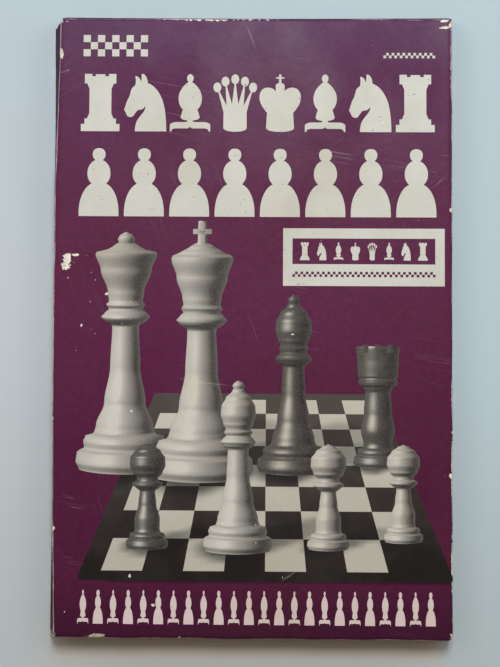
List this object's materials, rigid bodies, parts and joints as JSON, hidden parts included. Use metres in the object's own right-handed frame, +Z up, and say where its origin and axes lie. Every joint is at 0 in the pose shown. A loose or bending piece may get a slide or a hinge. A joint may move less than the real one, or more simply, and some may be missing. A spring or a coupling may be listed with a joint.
{
  "type": "pocket travel chess set",
  "caption": "Slim card box, lid over tray, holding a folding wallet chessboard whose slots hold flat round playing discs; the lid lifts off and the wallet opens.",
  "frame": {"origin": "middle of the shut box's underside, on the surface it lies on", "axes": "+X to the right of the cover, +Y towards the head of the cover along its long side, +Z up out of the cover"},
  "size_m": [0.1042, 0.162, 0.008],
  "materials": {
    "printed_card": "varnished purple print, worn to bare card at the edges",
    "bare_card": "uncoated cream card",
    "leaflet_paper": "matt uncoated paper",
    "wallet_vinyl": "grained soft vinyl",
    "stiffening_board": "grey board",
    "board_print": "printed vinyl sheet",
    "title_vinyl": "cream vinyl sheet",
    "slot_vinyl": "welded vinyl strip",
    "disc_plastic": "cream styrene with a printed symbol"
  },
  "bodies": {
    "tray": {"box_tray": "bare_card"},
    "lid": {"box_lid": "printed_card"},
    "leaflet": {"rules_leaflet": "leaflet_paper"},
    "wallet_left": {"left_cover_skin": "wallet_vinyl", "left_stiffener": "stiffening_board", "left_board_face": "board_print", "left_title_strip": "title_vinyl", "left_slot_welds": "slot_vinyl", "left_slot_strips": "slot_vinyl"},
    "spine": {"spine_strip": "wallet_vinyl"},
    "wallet_right": {"right_cover_skin": "wallet_vinyl", "right_stiffener": "stiffening_board", "right_board_face": "board_print", "right_title_strip": "title_vinyl", "right_slot_welds": "slot_vinyl", "right_slot_strips": "slot_vinyl"},
    "white_rook_a": {"white_rook_a": "disc_plastic"},
    "white_pawn_a": {"white_pawn_a": "disc_plastic"},
    "white_knight_b": {"white_knight_b": "disc_plastic"},
    "white_pawn_b": {"white_pawn_b": "disc_plastic"},
    "white_bishop_c": {"white_bishop_c": "disc_plastic"},
    "white_pawn_c": {"white_pawn_c": "disc_plastic"},
    "white_queen_d": {"white_queen_d": "disc_plastic"},
    "white_pawn_d": {"white_pawn_d": "disc_plastic"},
    "white_king_e": {"white_king_e": "disc_plastic"},
    "white_pawn_e": {"white_pawn_e": "disc_plastic"},
    "white_bishop_f": {"white_bishop_f": "disc_plastic"},
    "white_pawn_f": {"white_pawn_f": "disc_plastic"},
    "white_knight_g": {"white_knight_g": "disc_plastic"},
    "white_pawn_g": {"white_pawn_g": "disc_plastic"},
    "white_rook_h": {"white_rook_h": "disc_plastic"},
    "white_pawn_h": {"white_pawn_h": "disc_plastic"},
    "black_rook_a": {"black_rook_a": "disc_plastic"},
    "black_pawn_a": {"black_pawn_a": "disc_plastic"},
    "black_knight_b": {"black_knight_b": "disc_plastic"},
    "black_pawn_b": {"black_pawn_b": "disc_plastic"},
    "black_bishop_c": {"black_bishop_c": "disc_plastic"},
    "black_pawn_c": {"black_pawn_c": "disc_plastic"},
    "black_queen_d": {"black_queen_d": "disc_plastic"},
    "black_pawn_d": {"black_pawn_d": "disc_plastic"},
    "black_king_e": {"black_king_e": "disc_plastic"},
    "black_pawn_e": {"black_pawn_e": "disc_plastic"},
    "black_bishop_f": {"black_bishop_f": "disc_plastic"},
    "black_pawn_f": {"black_pawn_f": "disc_plastic"},
    "black_knight_g": {"black_knight_g": "disc_plastic"},
    "black_pawn_g": {"black_pawn_g": "disc_plastic"},
    "black_rook_h": {"black_rook_h": "disc_plastic"},
    "black_pawn_h": {"black_pawn_h": "disc_plastic"}
  },
  "joints": [
    {"name": "box_lid_lift", "type": "slide", "parent": "tray", "child": "lid", "axis": [0, 0, 1], "range_m": [0, 0.326]},
    {"name": "leaflet_lift", "type": "slide", "parent": "tray", "child": "leaflet", "axis": [0, 0, 1], "range_m": [0, 0.012]},
    {"name": "wallet_lift", "type": "slide", "parent": "tray", "child": "wallet_left", "axis": [0, 0, 1], "range_m": [0, 0.036]},
    {"name": "spine_fold", "type": "hinge", "parent": "wallet_left", "child": "spine", "pos_m": [0.0492, -0.0012, 0.00125], "axis": [0, 1, 0], "range_deg": [0, 90]},
    {"name": "wallet_open", "type": "hinge", "parent": "spine", "child": "wallet_right", "pos_m": [0.0492, -0.0012, 0.00595], "axis": [0, 1, 0], "range_deg": [0, 90]},
    {"name": "unslot_white_rook_a", "type": "slide", "parent": "wallet_left", "child": "white_rook_a", "axis": [0, -1, 0], "range_m": [0, 0.002]},
    {"name": "unslot_white_pawn_a", "type": "slide", "parent": "wallet_left", "child": "white_pawn_a", "axis": [0, -1, 0], "range_m": [0, 0.002]},
    {"name": "unslot_white_knight_b", "type": "slide", "parent": "wallet_left", "child": "white_knight_b", "axis": [0, -1, 0], "range_m": [0, 0.002]},
    {"name": "unslot_white_pawn_b", "type": "slide", "parent": "wallet_left", "child": "white_pawn_b", "axis": [0, -1, 0], "range_m": [0, 0.002]},
    {"name": "unslot_white_bishop_c", "type": "slide", "parent": "wallet_left", "child": "white_bishop_c", "axis": [0, -1, 0], "range_m": [0, 0.002]},
    {"name": "unslot_white_pawn_c", "type": "slide", "parent": "wallet_left", "child": "white_pawn_c", "axis": [0, -1, 0], "range_m": [0, 0.002]},
    {"name": "unslot_white_queen_d", "type": "slide", "parent": "wallet_left", "child": "white_queen_d", "axis": [0, -1, 0], "range_m": [0, 0.002]},
    {"name": "unslot_white_pawn_d", "type": "slide", "parent": "wallet_left", "child": "white_pawn_d", "axis": [0, -1, 0], "range_m": [0, 0.002]},
    {"name": "unslot_white_king_e", "type": "slide", "parent": "wallet_right", "child": "white_king_e", "axis": [0, -1, 0], "range_m": [0, 0.002]},
    {"name": "unslot_white_pawn_e", "type": "slide", "parent": "wallet_right", "child": "white_pawn_e", "axis": [0, -1, 0], "range_m": [0, 0.002]},
    {"name": "unslot_white_bishop_f", "type": "slide", "parent": "wallet_right", "child": "white_bishop_f", "axis": [0, -1, 0], "range_m": [0, 0.002]},
    {"name": "unslot_white_pawn_f", "type": "slide", "parent": "wallet_right", "child": "white_pawn_f", "axis": [0, -1, 0], "range_m": [0, 0.002]},
    {"name": "unslot_white_knight_g", "type": "slide", "parent": "wallet_right", "child": "white_knight_g", "axis": [0, -1, 0], "range_m": [0, 0.002]},
    {"name": "unslot_white_pawn_g", "type": "slide", "parent": "wallet_right", "child": "white_pawn_g", "axis": [0, -1, 0], "range_m": [0, 0.002]},
    {"name": "unslot_white_rook_h", "type": "slide", "parent": "wallet_right", "child": "white_rook_h", "axis": [0, -1, 0], "range_m": [0, 0.002]},
    {"name": "unslot_white_pawn_h", "type": "slide", "parent": "wallet_right", "child": "white_pawn_h", "axis": [0, -1, 0], "range_m": [0, 0.002]},
    {"name": "unslot_black_rook_a", "type": "slide", "parent": "wallet_left", "child": "black_rook_a", "axis": [0, -1, 0], "range_m": [0, 0.002]},
    {"name": "unslot_black_pawn_a", "type": "slide", "parent": "wallet_left", "child": "black_pawn_a", "axis": [0, -1, 0], "range_m": [0, 0.002]},
    {"name": "unslot_black_knight_b", "type": "slide", "parent": "wallet_left", "child": "black_knight_b", "axis": [0, -1, 0], "range_m": [0, 0.002]},
    {"name": "unslot_black_pawn_b", "type": "slide", "parent": "wallet_left", "child": "black_pawn_b", "axis": [0, -1, 0], "range_m": [0, 0.002]},
    {"name": "unslot_black_bishop_c", "type": "slide", "parent": "wallet_left", "child": "black_bishop_c", "axis": [0, -1, 0], "range_m": [0, 0.002]},
    {"name": "unslot_black_pawn_c", "type": "slide", "parent": "wallet_left", "child": "black_pawn_c", "axis": [0, -1, 0], "range_m": [0, 0.002]},
    {"name": "unslot_black_queen_d", "type": "slide", "parent": "wallet_left", "child": "black_queen_d", "axis": [0, -1, 0], "range_m": [0, 0.002]},
    {"name": "unslot_black_pawn_d", "type": "slide", "parent": "wallet_left", "child": "black_pawn_d", "axis": [0, -1, 0], "range_m": [0, 0.002]},
    {"name": "unslot_black_king_e", "type": "slide", "parent": "wallet_right", "child": "black_king_e", "axis": [0, -1, 0], "range_m": [0, 0.002]},
    {"name": "unslot_black_pawn_e", "type": "slide", "parent": "wallet_right", "child": "black_pawn_e", "axis": [0, -1, 0], "range_m": [0, 0.002]},
    {"name": "unslot_black_bishop_f", "type": "slide", "parent": "wallet_right", "child": "black_bishop_f", "axis": [0, -1, 0], "range_m": [0, 0.002]},
    {"name": "unslot_black_pawn_f", "type": "slide", "parent": "wallet_right", "child": "black_pawn_f", "axis": [0, -1, 0], "range_m": [0, 0.002]},
    {"name": "unslot_black_knight_g", "type": "slide", "parent": "wallet_right", "child": "black_knight_g", "axis": [0, -1, 0], "range_m": [0, 0.002]},
    {"name": "unslot_black_pawn_g", "type": "slide", "parent": "wallet_right", "child": "black_pawn_g", "axis": [0, -1, 0], "range_m": [0, 0.002]},
    {"name": "unslot_black_rook_h", "type": "slide", "parent": "wallet_right", "child": "black_rook_h", "axis": [0, -1, 0], "range_m": [0, 0.002]},
    {"name": "unslot_black_pawn_h", "type": "slide", "parent": "wallet_right", "child": "black_pawn_h", "axis": [0, -1, 0], "range_m": [0, 0.002]}
  ],
  "couplings": [
    {"joint": "wallet_lift", "follows": "box_lid_lift", "ratio": 0.11043},
    {"joint": "leaflet_lift", "follows": "box_lid_lift", "ratio": 0.036809},
    {"joint": "spine_fold", "follows": "box_lid_lift", "rad_per_m": 4.8184},
    {"joint": "wallet_open", "follows": "box_lid_lift", "rad_per_m": 4.8184}
  ]
}
